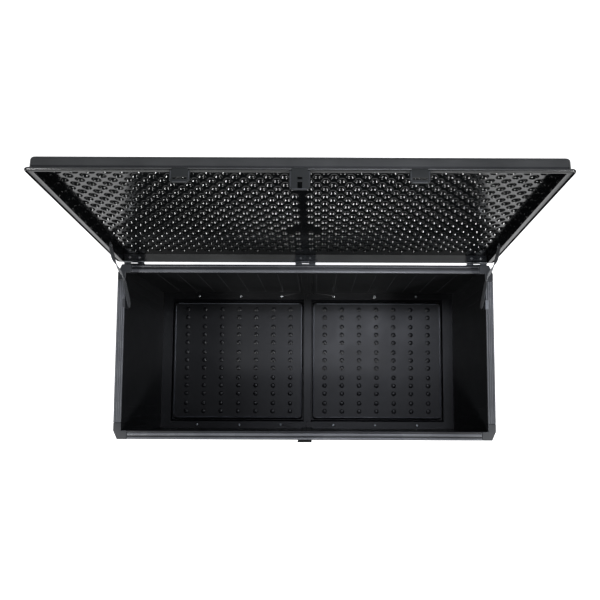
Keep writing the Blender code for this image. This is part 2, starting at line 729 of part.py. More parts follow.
def lid_panel(finish_of, lid):
    """The inner skin: a shallow pan whose rim is turned up against the outer skin."""
    gap = FIT
    outline = rounded_rectangle(-SKIRT_INNER_W + gap, SKIRT_INNER_W - gap,
                                SKIRT_INNER_FRONT + gap, SKIRT_INNER_REAR - gap,
                                LID_INNER_CORNER - gap)
    top = LID_HEIGHT - LID_TOP_SKIN - FIT
    panel = prism("lid_inner_panel", outline, "z", LID_PANEL_RISE, top, finish_of, lid)
    pan = prism("lid_pan_tool", inset(outline, LID_PANEL_RIM * 0.25), "z",
                LID_PANEL_RISE + LID_PANEL_SKIN, top + 0.01, None, lid)
    return boolean(panel, pan)


def hanging_plate(name, x, width, drop, tongue_width, windows, finish_of, lid):
    """A flat plate that hangs from a slot in the lid's front lip."""
    half = width / 2
    neck = tongue_width / 2
    cut = LATCH_CORNER
    top = -FIT
    outline = [(x - half + cut, -drop), (x + half - cut, -drop), (x + half, -drop + cut),
               (x + half, top), (x + neck, top), (x + neck, LATCH_TONGUE), (x - neck, LATCH_TONGUE),
               (x - neck, top), (x - half, top), (x - half, -drop + cut)]
    plate = prism(name, outline, "y", LATCH_FRONT, LATCH_BACK, finish_of, lid)

    def fill(bm):
        for window_width, height, middle in windows:
            add_box(bm, (x - window_width / 2, LATCH_FRONT - 0.01, middle - height / 2),
                    (x + window_width / 2, LATCH_BACK + 0.01, middle + height / 2))
    return boolean(plate, tool_from(name + "_windows", fill, lid))


# ---- keeper ----
def keeper(finish_of):
    """A pocket on the front wall that the latch plate drops into, with a padlock window."""
    back = -(HALF_D - WALL_OUT) - FIT
    latch_back = HINGE_Y + LATCH_BACK
    latch_front = HINGE_Y + LATCH_FRONT
    pocket_back = latch_back + 0.0004
    pocket_front = latch_front - KEEPER_PLAY
    front = pocket_front - KEEPER_PLATE
    head = RIM_HEIGHT - KEEPER_TOP_BELOW_RIM
    shelf = HINGE_Z - LATCH_DROP - KEEPER_FLOOR_GAP
    foot = shelf - KEEPER_FLOOR
    pad_top = RAIL_FOOT - FIT
    slope = 0.002
    outline = [(front + slope * 2, foot), (back, foot), (back, pad_top), (pocket_back, pad_top),
               (pocket_back, shelf), (pocket_front, shelf), (pocket_front, head - slope),
               (pocket_front - slope, head), (front, head), (front, foot + slope * 3)]
    half = KEEPER_WIDTH / 2
    made = prism("latch_keeper", outline, "x", -half, half, finish_of)
    width, height, middle = LARGE_WINDOW
    z = HINGE_Z + middle

    def fill(bm):
        add_box(bm, (-width / 2, front - 0.01, z - height / 2),
                (width / 2, pocket_front + 0.001, z + height / 2))
    boolean(made, tool_from("keeper_window_tool", fill))
    return foot, shelf


def keeper_screw_seats(foot, shelf):
    z = (foot + shelf) / 2
    between_ribs = POST_WIDTH / 4
    seat = -END_INNER + FIT + POST_FLANGE
    return [(s * between_ribs, seat, z) for s in (-1, 1)]


# ---- straps ----
def strap_path(side):
    """Centre points of the lid stay with the lid open, from the lid's skirt to the side rail."""
    turn = Matrix.Rotation(-LID_OPEN, 3, "X")
    hinge_point = Vector((0.0, HINGE_Y, HINGE_Z))
    lid_x = SKIRT_INNER_W - STRAP_SIDE_STAND_OFF - STRAP_THICKNESS / 2
    lid_end = turn @ Vector((0.0, -STRAP_LID_BACK, STRAP_LID_RISE)) + hinge_point
    rail_x = (HALF_W - side_rail_width() - BRACKET_SKIN - 3 * FIT - STRAP_THICKNESS / 2)
    wall_end = Vector((0.0, HINGE_Y - STRAP_WALL_BACK, RIM_HEIGHT - STRAP_WALL_DROP))
    along = (wall_end - lid_end).normalized()
    start = lid_end - along * STRAP_TAIL
    end = wall_end + along * STRAP_TAIL
    points = []
    for i in range(STRAP_STATIONS + 1):
        share = i / STRAP_STATIONS
        blend = min(max((share - 0.16) / 0.44, 0.0), 1.0)
        ease = blend * blend * (3 - 2 * blend)
        point = start.lerp(end, share)
        point.x = side * (lid_x + (rail_x - lid_x) * ease)
        points.append(point)
    return points


def strap_twist(share):
    """How far the band has turned about its own line, from none at each end of its free span."""
    first, last = STRAP_TWIST_SPAN
    place_in_span = min(max((share - first) / (last - first), 0.0), 1.0)
    return math.radians(STRAP_TWIST_DEG) * math.sin(math.pi * place_in_span) ** 2


def strap(name, side, finish_of):
    """A flat woven stay, swept as a thin rectangle that stands on its edge."""
    points = strap_path(side)
    bm = bmesh.new()
    rings = []
    for i, point in enumerate(points):
        tangent = (points[min(i + 1, len(points) - 1)] - points[max(i - 1, 0)]).normalized()
        across = tangent.cross(Vector((1, 0, 0))).normalized()
        normal = across.cross(tangent).normalized()
        turn = Matrix.Rotation(side * strap_twist(i / STRAP_STATIONS), 3, tangent)
        across = turn @ across
        normal = turn @ normal
        end = i in (0, len(points) - 1)
        half = STRAP_WIDTH * (0.32 if end else 0.5)
        ring = []
        for u, v in ((-1, -1), (1, -1), (1, 1), (-1, 1)):
            ring.append(bm.verts.new(point + across * u * half
                                     + normal * v * STRAP_THICKNESS / 2))
        rings.append(ring)
    for first, second in zip(rings, rings[1:]):
        for k in range(4):
            bm.faces.new((first[k], first[(k + 1) % 4], second[(k + 1) % 4], second[k]))
    bm.faces.new(rings[0])
    bm.faces.new(rings[-1])
    made = finish(name, bm, finish_of)
    seats = [points[0].lerp(points[1], 0.9), points[-1].lerp(points[-2], 0.9)]

    def fill(bm):
        for seat in seats:
            add_cylinder(bm, seat, "x", SCREW_SHANK + SCREW_HOLE_CLEARANCE, 0.02, 10)
    boolean(made, tool_from(name + "_holes", fill))
    return seats


def strap_bracket(name, side, y, finish_of):
    """An angle clip over the inner edge of the side rail, behind the strap's lower end."""
    edge = HALF_W - side_rail_width() - FIT
    top = RIM_HEIGHT + FIT
    skin = BRACKET_SKIN * 0.6
    outline = [(edge, RAIL_FOOT + 0.001), (edge, top), (edge + BRACKET_TOP, top),
               (edge + BRACKET_TOP, top + skin), (edge - BRACKET_SKIN, top + skin),
               (edge - BRACKET_SKIN, RAIL_FOOT + 0.001)]
    if side < 0:
        outline = mirrored(outline)
    half = BRACKET_LENGTH / 2
    return prism(name, outline, "y", y - half, y + half, finish_of)


# ---- assembly ----
def build():
    clear_scene()
    resin = material("black_resin", (0.020, 0.021, 0.022), 0.45)
    floor_resin = material("floor_resin", (0.016, 0.017, 0.018), 0.40)
    lid_resin = material("lid_resin", (0.026, 0.028, 0.028), 0.42)
    rail_resin = material("rail_grey", (0.070, 0.072, 0.076), 0.38)
    latch_resin = material("latch_grey", (0.060, 0.062, 0.062), 0.40)
    steel = material("dark_steel", (0.110, 0.112, 0.115), 0.35, 0.9)
    webbing = material("strap_webbing", (0.055, 0.057, 0.060), 0.70)
    lid = lid_pivot()

    base_panel("base_panel_left", -1, floor_resin)
    base_panel("base_panel_right", 1, floor_resin)
    base_joiner(floor_resin)
    for rear, where in ((False, "front"), (True, "rear")):
        left = end_wall(where + "_wall_left", -1, rear, resin)
        right = end_wall(where + "_wall_right", 1, rear, resin)
        post = end_post(where + "_wall_centre_post", rear, resin)
        rail = end_rail(where + "_top_rail", rear, rail_resin)
        if rear:
            rear_rail = rail
        else:
            behind_keeper = (left, right, post)
    caps = {}
    for side, hand in ((-1, "left"), (1, "right")):
        side_wall(hand + "_side_wall", side, resin)
        rail = side_rail(hand + "_top_rail", side, rail_resin)
        for rear, where in ((False, "front"), (True, "rear")):
            caps[where, hand] = corner_cap(where + "_" + hand + "_corner_cap", side, rear,
                                           rail_resin)
        seats = strap(hand + "_lid_strap", side, webbing)
        lower = seats[1]
        bracket = strap_bracket(hand + "_strap_bracket", side, lower.y, steel)
        inward = (-side, 0, 0)
        face = side * (abs(lower.x) - STRAP_THICKNESS / 2)
        lower_seat = (face, lower.y, lower.z)
        depth = abs(side * HALF_W - face) - 0.004
        drill(bracket, [lower_seat], inward, depth)
        drill(rail, [lower_seat], inward, side_rail_width() - 0.008)
        screw(hand + "_strap_rail_screw", lower_seat, inward, 0.0065, steel)
        to_lid = lid_frame(seats[0])
        upper_seat = (side * (abs(to_lid.x) - STRAP_THICKNESS / 2), to_lid.y, to_lid.z)
        screw(hand + "_strap_lid_screw", upper_seat, inward, 0.0045, steel, lid)
        upper_seats.append((upper_seat, inward))

    box_leaf_seats = []
    hinge_places = ((-HINGE_OFFSET, "left"), (0.0, "centre"), (HINGE_OFFSET, "right"))
    for x, side_name in hinge_places:
        box_leaf_seats += hinge(side_name, x, steel, lid)
    drill(rear_rail, [s for s in box_leaf_seats], (0, 1, 0), SKIN * 2.5)
    drill(caps["rear", "left"], box_leaf_seats[:2], (0, 1, 0), SKIN * 2.5)
    drill(caps["rear", "right"], box_leaf_seats[-2:], (0, 1, 0), SKIN * 2.5)
    screws("hinge_box_screw", box_leaf_seats, (0, 1, 0), LEAF_THICKNESS + SKIN, steel)
    lid_seats = [s for x, _ in hinge_places for s in lid_leaf_seats(x)]
    screws("hinge_lid_screw", lid_seats, (0, -1, 0), LEAF_THICKNESS + LID_SKIRT * 0.8, steel, lid)

    slots = [(0.0, LATCH_TONGUE_WIDTH), (-TAB_OFFSET, LATCH_TONGUE_WIDTH),
             (TAB_OFFSET, LATCH_TONGUE_WIDTH)]
    shell = lid_shell(lid_resin, lid, slots, lid_seats)
    for seat, way in upper_seats:
        drill(shell, [seat], way, 0.0055, lid, SCREW_SHANK)
    lid_panel(lid_resin, lid)
    hanging_plate("lid_latch_plate", 0.0, LATCH_WIDTH, LATCH_DROP, LATCH_TONGUE_WIDTH,
                  (SMALL_WINDOW, LARGE_WINDOW), latch_resin, lid)
    for x, hand in ((-TAB_OFFSET, "left"), (TAB_OFFSET, "right")):
        hanging_plate("lid_guide_tab_" + hand, x, TAB_WIDTH, TAB_DROP, LATCH_TONGUE_WIDTH,
                      (TAB_SLOT,), latch_resin, lid)
    foot, shelf = keeper(latch_resin)
    seats = keeper_screw_seats(foot, shelf)
    for piece in behind_keeper:
        drill(piece, seats, (0, 1, 0), 0.02)
    drill(bpy.data.objects["latch_keeper"], seats, (0, 1, 0), 0.016)
    screws("keeper_screw", seats, (0, 1, 0), 0.014, steel)
    shade_round_pieces()


def lid_frame(point):
    """A point of the opened lid, in the closed lid's own frame."""
    local = point - Vector((0.0, HINGE_Y, HINGE_Z))
    return Matrix.Rotation(LID_OPEN, 3, "X") @ local


def shade_round_pieces():
    for made in bpy.data.objects:
        if made.type == "MESH" and ("pin" in made.name or "screw" in made.name):
            made.data.shade_smooth()
            made.data.set_sharp_from_angle(angle=math.radians(40))


upper_seats = []
build()
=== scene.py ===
# %% [markdown]
# A resin deck box for cushions and tools, standing with its lid open.
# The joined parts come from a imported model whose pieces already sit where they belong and
# already swing on their hinge. This lesson only gives them their surfaces, adds the detail
# that is too fine for a working model, and lights them. Loading the frame first means that
# every later piece can be placed by asking a node where it is.

import json
import math

import bmesh
import bpy
from mathutils import Matrix, Vector

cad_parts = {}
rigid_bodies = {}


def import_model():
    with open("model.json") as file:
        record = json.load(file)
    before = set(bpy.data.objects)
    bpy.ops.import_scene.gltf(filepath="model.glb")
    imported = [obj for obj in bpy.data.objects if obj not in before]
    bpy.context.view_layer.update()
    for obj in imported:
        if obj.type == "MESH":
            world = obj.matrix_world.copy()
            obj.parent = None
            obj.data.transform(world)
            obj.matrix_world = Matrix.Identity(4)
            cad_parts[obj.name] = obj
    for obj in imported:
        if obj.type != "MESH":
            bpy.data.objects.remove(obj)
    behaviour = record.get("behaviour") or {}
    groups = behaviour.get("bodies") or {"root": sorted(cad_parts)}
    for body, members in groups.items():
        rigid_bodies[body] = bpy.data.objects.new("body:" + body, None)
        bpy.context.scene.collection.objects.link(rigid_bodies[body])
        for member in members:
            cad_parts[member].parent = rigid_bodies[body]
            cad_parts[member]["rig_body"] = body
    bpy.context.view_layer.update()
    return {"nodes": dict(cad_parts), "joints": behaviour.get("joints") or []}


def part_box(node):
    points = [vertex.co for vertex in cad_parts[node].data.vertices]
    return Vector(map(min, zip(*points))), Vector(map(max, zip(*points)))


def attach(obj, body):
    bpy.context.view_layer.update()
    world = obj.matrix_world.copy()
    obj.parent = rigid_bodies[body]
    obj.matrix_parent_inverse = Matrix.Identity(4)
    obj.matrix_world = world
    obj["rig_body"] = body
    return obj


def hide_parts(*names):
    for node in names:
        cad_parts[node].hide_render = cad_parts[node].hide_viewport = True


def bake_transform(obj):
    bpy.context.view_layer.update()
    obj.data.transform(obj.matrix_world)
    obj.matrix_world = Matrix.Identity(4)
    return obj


MM = 0.001
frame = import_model()
nodes = frame["nodes"]
hinge = next(j for j in frame["joints"] if j["name"] == "lid_hinge")
hinge_point = Vector(hinge["pos_m"])
swing_open = math.radians(max(hinge["range_deg"]))

# %% [markdown]
# The lid was designed closed and is shown open. Its pieces are far easier to describe closed,
# when its underside is a flat sheet seen from below, so one matrix turns closed places into
# open ones: a turn about the hinge pin by the whole travel of the hinge.

# %% The lid's own frame
lid_to_world = Matrix.Translation(hinge_point) @ Matrix.Rotation(-swing_open, 4, "X")
world_to_lid = lid_to_world.inverted()


def lid_box(*names):
    """Lowest and highest corners of nodes on the lid, measured with the lid closed."""
    points = [world_to_lid @ v.co for n in names for v in nodes[n].data.vertices]
    return [min(p[i] for p in points) for i in range(3)], [max(p[i] for p in points) for i in range(3)]


panel_low, panel_high = lid_box("lid_inner_panel")
shell_low, shell_high = lid_box("lid_outer_shell")
print("lid panel, closed, in mm:", [round(c / MM, 1) for c in panel_low + panel_high])

# %% [markdown]
# The camera looks almost straight down from above the front half of the box, so both the
# inside of the box and the inside of the standing lid are in view. A view straight down needs
# the frame shifted a little, as on a camera with a rising lens board, because tilting it would
# make the box's sides lean.

# %% Camera
LENS_MM = 32.47
LENS_SHIFT = (-0.0285, 0.0892)
CAMERA_PLACE = (0.0390, -0.1323, 2.1650)
CAMERA_TURN = (0.0748, 0.0004, 0.0041)
camera_data = bpy.data.cameras.new("high_camera")
camera_data.lens = LENS_MM
camera_data.sensor_width = 36.0
camera_data.shift_x, camera_data.shift_y = LENS_SHIFT
camera_data.clip_end = 60.0
camera = bpy.data.objects.new("high_camera", camera_data)
camera.location = CAMERA_PLACE
camera.rotation_euler = CAMERA_TURN
bpy.context.scene.collection.objects.link(camera)
bpy.context.scene.camera = camera
bpy.context.scene.view_settings.view_transform = "Standard"
print("camera height in mm:", round(camera.location.z / MM))

# %% [markdown]
# Colours are noted as sRGB hex values, the way a paint or resin chart gives them, but a shader
# works in linear light. One function turns one into the other. A second adds a node to a
# material with its settings and links in one call, so each recipe below reads as a list.

# %% Colour and node helpers
def linear(hex_colour):
    """An sRGB hex colour as the linear red, green, blue and alpha of a shader."""
    shares = [int(hex_colour[i:i + 2], 16) / 255 for i in (1, 3, 5)]
    return [s / 12.92 if s <= 0.04045 else ((s + 0.055) / 1.055) ** 2.4 for s in shares] + [1.0]


def add_node(tree, kind, settings=None, **sockets):
    """Add a node. A socket is given by its name with _ for a space, as a value or as a link."""
    made = tree.nodes.new(kind)
    for name, value in (settings or {}).items():
        setattr(made, name, value)
    for name, value in sockets.items():
        key = int(name[1:]) if name[0] == "i" and name[1:].isdigit() else name.replace("_", " ")
        if isinstance(value, bpy.types.NodeSocket):
            tree.links.new(value, made.inputs[key])
        else:
            made.inputs[key].default_value = value
    return made


print("dark resin in linear light:", [round(c, 4) for c in linear("#1a1c1d")[:3]])

# %% [markdown]
# Two small soft boxes stand to the left and right in front of the box, and a wider, weaker one
# hangs behind the lid's top edge. They are small so that each cup of the lid shows a pair of
# crisp points. Black plastic is hardly seen by the light it scatters: it is seen by what it
# mirrors. The bright floor beside the box shows in the lid's skin, and the lamps show
# in every small curve. So the floor has to be really bright, as a white studio sweep is, and it
# gives off some light of its own to stay white right up to the box.

# %% Floor, lamps and room
def link(made):
    bpy.context.scene.collection.objects.link(made)
    return made


def lamp(name, place, aim, size, power, colour="#ffffff"):
    data = bpy.data.lights.new(name, "AREA")
    data.shape = "RECTANGLE"
    data.size, data.size_y = size
    data.energy = power
    data.color = linear(colour)[:3]
    made = link(bpy.data.objects.new(name, data))
    made.location = place
    made.rotation_euler = (Vector(aim) - Vector(place)).to_track_quat("-Z", "Y").to_euler()
    return made


FLOOR_HALF = 7.0
FLOOR_GLOW = 0.9
ROOM_GREY = (0.030, 0.030, 0.032, 1.0)
floor_mesh = bpy.data.meshes.new("studio_floor")
floor_mesh.from_pydata([(-FLOOR_HALF, -FLOOR_HALF, 0), (FLOOR_HALF, -FLOOR_HALF, 0),
                        (FLOOR_HALF, FLOOR_HALF, 0), (-FLOOR_HALF, FLOOR_HALF, 0)], [], [(0, 1, 2, 3)])
floor = link(bpy.data.objects.new("studio_floor", floor_mesh))
floor_paint = bpy.data.materials.new("matt_white_painted_floor")
floor_paint.use_nodes = True
floor_shader = floor_paint.node_tree.nodes["Principled BSDF"]
floor_shader.inputs["Base Color"].default_value = linear("#f4f4f4")
floor_shader.inputs["Roughness"].default_value = 0.9
floor_shader.inputs["Specular IOR Level"].default_value = 0.0
floor_shader.inputs["Emission Color"].default_value = linear("#ffffff")
floor_shader.inputs["Emission Strength"].default_value = FLOOR_GLOW
floor.data.materials.append(floor_paint)

world = bpy.data.worlds.new("dim_studio")
world.use_nodes = True
world.node_tree.nodes["Background"].inputs["Color"].default_value = ROOM_GREY
world.node_tree.nodes["Background"].inputs["Strength"].default_value = 1.0
bpy.context.scene.world = world

lamp("left_soft_box", (-1.9, -1.3, 2.7), (0, 0, 0.3), (0.4, 0.4), 52)
lamp("right_soft_box", (1.9, -1.3, 2.7), (0, 0, 0.3), (0.4, 0.4), 62)
lamp("overhead_soft_box", (0.34, 0.60, 3.1), (0.1, 0.1, 0.0), (0.9, 0.45), 22,
     "#eef2ff")

# %% [markdown]
# Everything large here is moulded polyolefin: the walls and floor are polypropylene, the
# lid is blow-moulded HDPE. Carbon black makes the body of the plastic nearly black, and the
# tool steel's spark-eroded texture prints on it as a fine pebble about a millimetre across,
# which spreads the shine. The recipe is therefore a dark base with a faint cloudy variation,
# a middling roughness that varies a little, and a shallow pebble bump. The beads take a lighter
# grey than the resin has, a painted reflection of the bright room that polished edges mirror.

# %% Moulded plastic
def principled(name, **sockets):
    """A material with one Principled shader. Fixed numbers stay on the shader's own sockets."""
    made = bpy.data.materials.new(name)
    made.use_nodes = True
    tree = made.node_tree
    tree.nodes.clear()
    shader = add_node(tree, "ShaderNodeBsdfPrincipled", **sockets)
    add_node(tree, "ShaderNodeOutputMaterial", Surface=shader.outputs["BSDF"])
    return made, tree, shader


POLYOLEFIN_IOR = 1.49
CLOUD_MM = 90.0
ROUGH_SPREAD = 0.04


def moulded(name, dark, light, rough, pebble_mm, depth_mm, stretch=(1, 1, 1), turn=0.0,
            ior=POLYOLEFIN_IOR):
    """Textured polyolefin. stretch pulls the texture out along an axis, in the closed lid's
    frame where turn is the lid's swing."""
    made, tree, shader = principled(name, IOR=ior)
    where = add_node(tree, "ShaderNodeTexCoord").outputs["Object"]
    placed = add_node(tree, "ShaderNodeMapping", Vector=where, Rotation=(turn, 0, 0)).outputs[0]
    pulled = add_node(tree, "ShaderNodeMapping", Vector=placed, Scale=stretch).outputs[0]
    pebble = add_node(tree, "ShaderNodeTexNoise", Vector=pulled, Scale=1 / (pebble_mm * MM),
                      Detail=2.0, Roughness=0.55).outputs["Fac"]
    cloud = add_node(tree, "ShaderNodeTexNoise", Vector=placed, Scale=1 / (CLOUD_MM * MM),
                     Detail=3.0).outputs["Fac"]
    blended = add_node(tree, "ShaderNodeMath", {"operation": "MULTIPLY_ADD"}, i0=pebble, i1=0.45,
                       i2=cloud).outputs[0]
    tone = add_node(tree, "ShaderNodeMapRange", Value=blended, From_Min=0.45, From_Max=1.0).outputs[0]
    colour = add_node(tree, "ShaderNodeMix", {"data_type": "RGBA"}, Factor=tone)
    colour.inputs[6].default_value = linear(dark)
    colour.inputs[7].default_value = linear(light)
    shine = add_node(tree, "ShaderNodeMapRange", Value=cloud, From_Min=0.3, From_Max=0.7,
                     To_Min=rough - ROUGH_SPREAD, To_Max=rough + ROUGH_SPREAD).outputs[0]
    bump = add_node(tree, "ShaderNodeBump", Height=pebble, Distance=depth_mm * MM, Strength=1.0)
    tree.links.new(colour.outputs[2], shader.inputs["Base Color"])
    tree.links.new(shine, shader.inputs["Roughness"])
    tree.links.new(bump.outputs[0], shader.inputs["Normal"])
    return made


wall_resin = moulded("moulded_polypropylene_wall", "#111213", "#1b1c1e", 0.42, 1.6, 0.05)
floor_resin = moulded("moulded_polypropylene_floor", "#050608", "#090a0d", 0.40, 1.8, 0.11)
lid_skin = moulded("blow_moulded_hdpe_lid_skin", "#08090a", "#0d0e0f", 0.13, 1.4, 0.01, ior=1.44)
lid_shell = moulded("grained_blow_moulded_hdpe_lid", "#383939", "#444545", 0.40, 2.4, 0.10,
                    stretch=(0.06, 1, 1), turn=swing_open, ior=1.54)
# The rails and corner caps are the walls' dark resin: their lighter greys are painted sheen from the
# lamps above, lightest on the side rails.
rail_painted_sheen_x = moulded("polypropylene_rail_drawn_along_x", "#1c1d20", "#2a2b2e", 0.34, 1.5, 0.04,
                 stretch=(0.03, 1, 1))
resin_painted_sheen_y = moulded("polypropylene_rail_drawn_along_y", "#38393c", "#4a4c4f", 0.34, 1.5, 0.04,
                 stretch=(1, 0.03, 1))
# The rail beads' lighter grey is a painted reflection of the bright room.
bead_painted_reflection = moulded("polished_polypropylene_bead", "#5c5e62", "#6c6e72", 0.26, 1.5, 0.02)
# The tread edge beads take a lighter grey than the floor resin as a painted highlight.
tread_edge_painted_highlight = moulded("polished_polypropylene_edge", "#44474d", "#54575d", 0.20, 1.5, 0.01)
corner_painted_sheen = moulded("moulded_polypropylene_corner", "#2b2d30", "#383a3d", 0.36, 1.4, 0.04)
latch_resin = moulded("moulded_polypropylene_latch", "#222424", "#2e3030", 0.36, 1.2, 0.03)
print("plastics:", [m.name for m in bpy.data.materials if "poly" in m.name or "hdpe" in m.name])

# %% [markdown]
# The hardware is steel. The hinge leaves are dipped in a black coat that still shows the metal's
# shine; the screws keep a bright zinc plate, whose crystals give small patches of lighter and
# darker grey. A metal keeps the default IOR, because its colour alone sets its reflection.

# %% Steel and zinc
STEEL_GRAIN_MM = 0.6
STEEL_ROUGH_SPREAD = 0.08


def steel(name, dark, light, rough, patch_mm):
    made, tree, shader = principled(name, Metallic=1.0)
    where = add_node(tree, "ShaderNodeTexCoord").outputs["Object"]
    patch = add_node(tree, "ShaderNodeTexVoronoi", Vector=where,
                     Scale=1 / (patch_mm * MM)).outputs["Color"]
    grey = add_node(tree, "ShaderNodeSeparateColor", Color=patch).outputs[0]
    colour = add_node(tree, "ShaderNodeMix", {"data_type": "RGBA"}, Factor=grey)
    colour.inputs[6].default_value = linear(dark)
    colour.inputs[7].default_value = linear(light)
    fine = add_node(tree, "ShaderNodeTexNoise", Vector=where, Scale=1 / (STEEL_GRAIN_MM * MM),
                    Detail=2.0).outputs["Fac"]
    shine = add_node(tree, "ShaderNodeMapRange", Value=fine, To_Min=rough - STEEL_ROUGH_SPREAD,
                     To_Max=rough + STEEL_ROUGH_SPREAD).outputs[0]
    bump = add_node(tree, "ShaderNodeBump", Height=fine, Distance=0.01 * MM)
    tree.links.new(colour.outputs[2], shader.inputs["Base Color"])
    tree.links.new(shine, shader.inputs["Roughness"])
    tree.links.new(bump.outputs[0], shader.inputs["Normal"])
    return made


zinc_plate = steel("zinc_plated_steel_screw", "#b9bdc2", "#d6d9dc", 0.30, 1.5)
black_steel = steel("black_coated_steel_hinge", "#54575a", "#66696c", 0.36, 2.5)
clip_steel = steel("bright_steel_clip", "#9a9da1", "#b4b7ba", 0.30, 2.0)
print("metals:", zinc_plate.name, black_steel.name, clip_steel.name)

# %% [markdown]
# The lid stays are flat polypropylene webbing. Its threads run in a plain weave, packed so that
# the band shows ribs along its length. Real ribs are about a millimetre and a half apart. They
# are drawn twice as far apart here, so that they still show from the camera. Webbing catches
# light softly at a glancing angle, so it takes a little sheen.

# %% Webbing
WEB_RIB_MM = 3.0
WEB_PICK_MM = 2.0


def webbing_material():
    """Ribs along the band and picks across it, from the band's own length and width."""
    made, tree, shader = principled("polypropylene_webbing", Roughness=0.55, Sheen_Weight=0.25,
                                    Sheen_Roughness=0.4, IOR=1.49)
    across = add_node(tree, "ShaderNodeAttribute", {"attribute_name": "band_across"}).outputs["Fac"]
    along = add_node(tree, "ShaderNodeAttribute", {"attribute_name": "band_along"}).outputs["Fac"]
    waves = []
    for value, spacing in ((across, WEB_RIB_MM), (along, WEB_PICK_MM)):
        turn = add_node(tree, "ShaderNodeMath", {"operation": "MULTIPLY"}, i0=value,
                        i1=2 * math.pi / (spacing * MM)).outputs[0]
        waves.append(add_node(tree, "ShaderNodeMath", {"operation": "SINE"}, i0=turn).outputs[0])
    weave = add_node(tree, "ShaderNodeMath", {"operation": "MULTIPLY_ADD"}, i0=waves[1], i1=0.35,
                     i2=waves[0]).outputs[0]
    tone = add_node(tree, "ShaderNodeMapRange", Value=weave, From_Min=-1.2, From_Max=1.2).outputs[0]
    colour = add_node(tree, "ShaderNodeMix", {"data_type": "RGBA"}, Factor=tone)
    colour.inputs[6].default_value = linear("#1d1e20")
    colour.inputs[7].default_value = linear("#4b4e52")
    bump = add_node(tree, "ShaderNodeBump", Height=weave, Distance=0.12 * MM)
    tree.links.new(colour.outputs[2], shader.inputs["Base Color"])
    tree.links.new(bump.outputs[0], shader.inputs["Normal"])
    return made


webbing = webbing_material()
print("webbing ribs every", WEB_RIB_MM, "mm")

# %% [markdown]
# A moulding never has a sharp edge: resin doesn't fill one and the tool wouldn't release it.
# The rounded edge is what draws the thin bright line round every plastic part. The packed
# nodes have square edges, so each moulding is copied, its flat faces merged, its long
# edges rounded by its own radius, and the copy stands for the node. The faces of rails and
# corners that look sideways or down take the wall's darker resin as painted shade, which leaves
# the rail's lighter top, itself a painted sheen, as the light line that frames the box.

# %% Rounding the mouldings
FLAT_FACE_DEG = 1.0
ROUNDED_EDGE_DEG = 35
JOIN_WITHIN = 2e-6


def mesh_object(name, bm, material, sharp_deg=40):
    mesh = bpy.data.meshes.new(name)
    bm.to_mesh(mesh)
    bm.free()
    for face in mesh.polygons:
        face.use_smooth = True
    mesh.set_sharp_from_angle(angle=math.radians(sharp_deg))
    mesh.materials.append(material)
    return link(bpy.data.objects.new(name, mesh))


def body_of_node(name):
    return nodes[name]["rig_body"]


def faces_away(normal, centre):
    """Faces that look sideways or down, which take painted shade."""
    return normal.z < 0.25


def soften(node, radius_mm, material, steps=2, shortest_mm=None, shade_material=None,
           is_shaded=faces_away, shape=None):
    """Round the long edges of a copy of a node and show the copy in the node's place. The faces
    picked by is_shaded take the material shade_material as painted shade, and shape may cut the copy
    further."""
    radius = radius_mm * MM
    shortest = (shortest_mm or 3 * radius_mm) * MM
    bm = bmesh.new()
    bm.from_mesh(nodes[node].data)
    bmesh.ops.remove_doubles(bm, verts=bm.verts, dist=JOIN_WITHIN)
    bmesh.ops.dissolve_limit(bm, angle_limit=math.radians(FLAT_FACE_DEG), verts=bm.verts, edges=bm.edges)
    edges = [e for e in bm.edges if len(e.link_faces) == 2 and e.calc_length() > shortest
             and e.calc_face_angle(0) > math.radians(ROUNDED_EDGE_DEG)]
    bmesh.ops.bevel(bm, geom=edges, offset=radius, offset_type="OFFSET", segments=steps,
                    profile=0.5, affect="EDGES", clamp_overlap=True)
    if shape:
        shape(bm)
    bmesh.ops.triangulate(bm, faces=[f for f in bm.faces if len(f.verts) > 4])
    made = mesh_object(node + "_moulding", bm, material)
    if shade_material:
        made.data.materials.append(shade_material)
        for face in made.data.polygons:
            face.material_index = int(is_shaded(face.normal, face.center))
    made.modifiers.new("even_shading", "WEIGHTED_NORMAL").keep_sharp = True
    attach(made, body_of_node(node))
    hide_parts(node)
    return made


MOULDINGS = (
    (("front_wall_left", "front_wall_right", "rear_wall_left", "rear_wall_right"),
     0.5, wall_resin, "wall_resin", 1, None, None),
    (("front_wall_centre_post", "rear_wall_centre_post"), 0.6, wall_resin, "wall_resin", 2, None, None),
    (("left_side_wall", "right_side_wall"), 0.6, wall_resin, "wall_resin", 1, None, None),
    (("base_panel_left", "base_panel_right"), 1.6, floor_resin, "floor_resin", 3, None, None),
    (("base_centre_joiner",), 0.4, floor_resin, "floor_resin", 2, None, None),
    # Rails and corner caps take the wall's darker resin on faces that look sideways or down, as painted
    # shade.
    (("front_top_rail", "rear_top_rail"), 0.9, rail_painted_sheen_x, "rail_resin", 3, 1.5, wall_resin),
    (("left_top_rail", "right_top_rail"), 0.9, resin_painted_sheen_y, "rail_resin", 3, 1.5, wall_resin),
    (("front_left_corner_cap", "front_right_corner_cap", "rear_left_corner_cap",
      "rear_right_corner_cap"), 0.6, corner_painted_sheen, "rail_resin", 2, 2.5, wall_resin),
)
softened = []
for names, radius_mm, material, slot, steps, shortest_mm, shade_material in MOULDINGS:
    for name in names:
        softened.append(soften(name, radius_mm, material, steps, shortest_mm, shade_material))
print("softened box mouldings:", len(softened))

# %% [markdown]
# The lid's outer shell ends in a lip that turns down all round. It is a thin wall, so its
# underside is hollow: a channel open towards the box, which looks black because little light
# finds its way in. The shell's outside is grained and grey. Its inside, its faces that look
# sideways, and the lip's underside and hollow take the smooth dark resin of the inner skin as painted
# shade.

# %% The lid's shell and its hollow lip
LIP_SIDE = 9.0 * MM
LIP_FRONT = 6.5 * MM
LIP_WALL = 0.9 * MM
LIP_HOLLOW = 3.6 * MM
LIP_REACH = 8.0 * MM
LIP_EDGE = 0.5 * MM
turn_closed = world_to_lid.to_3x3()


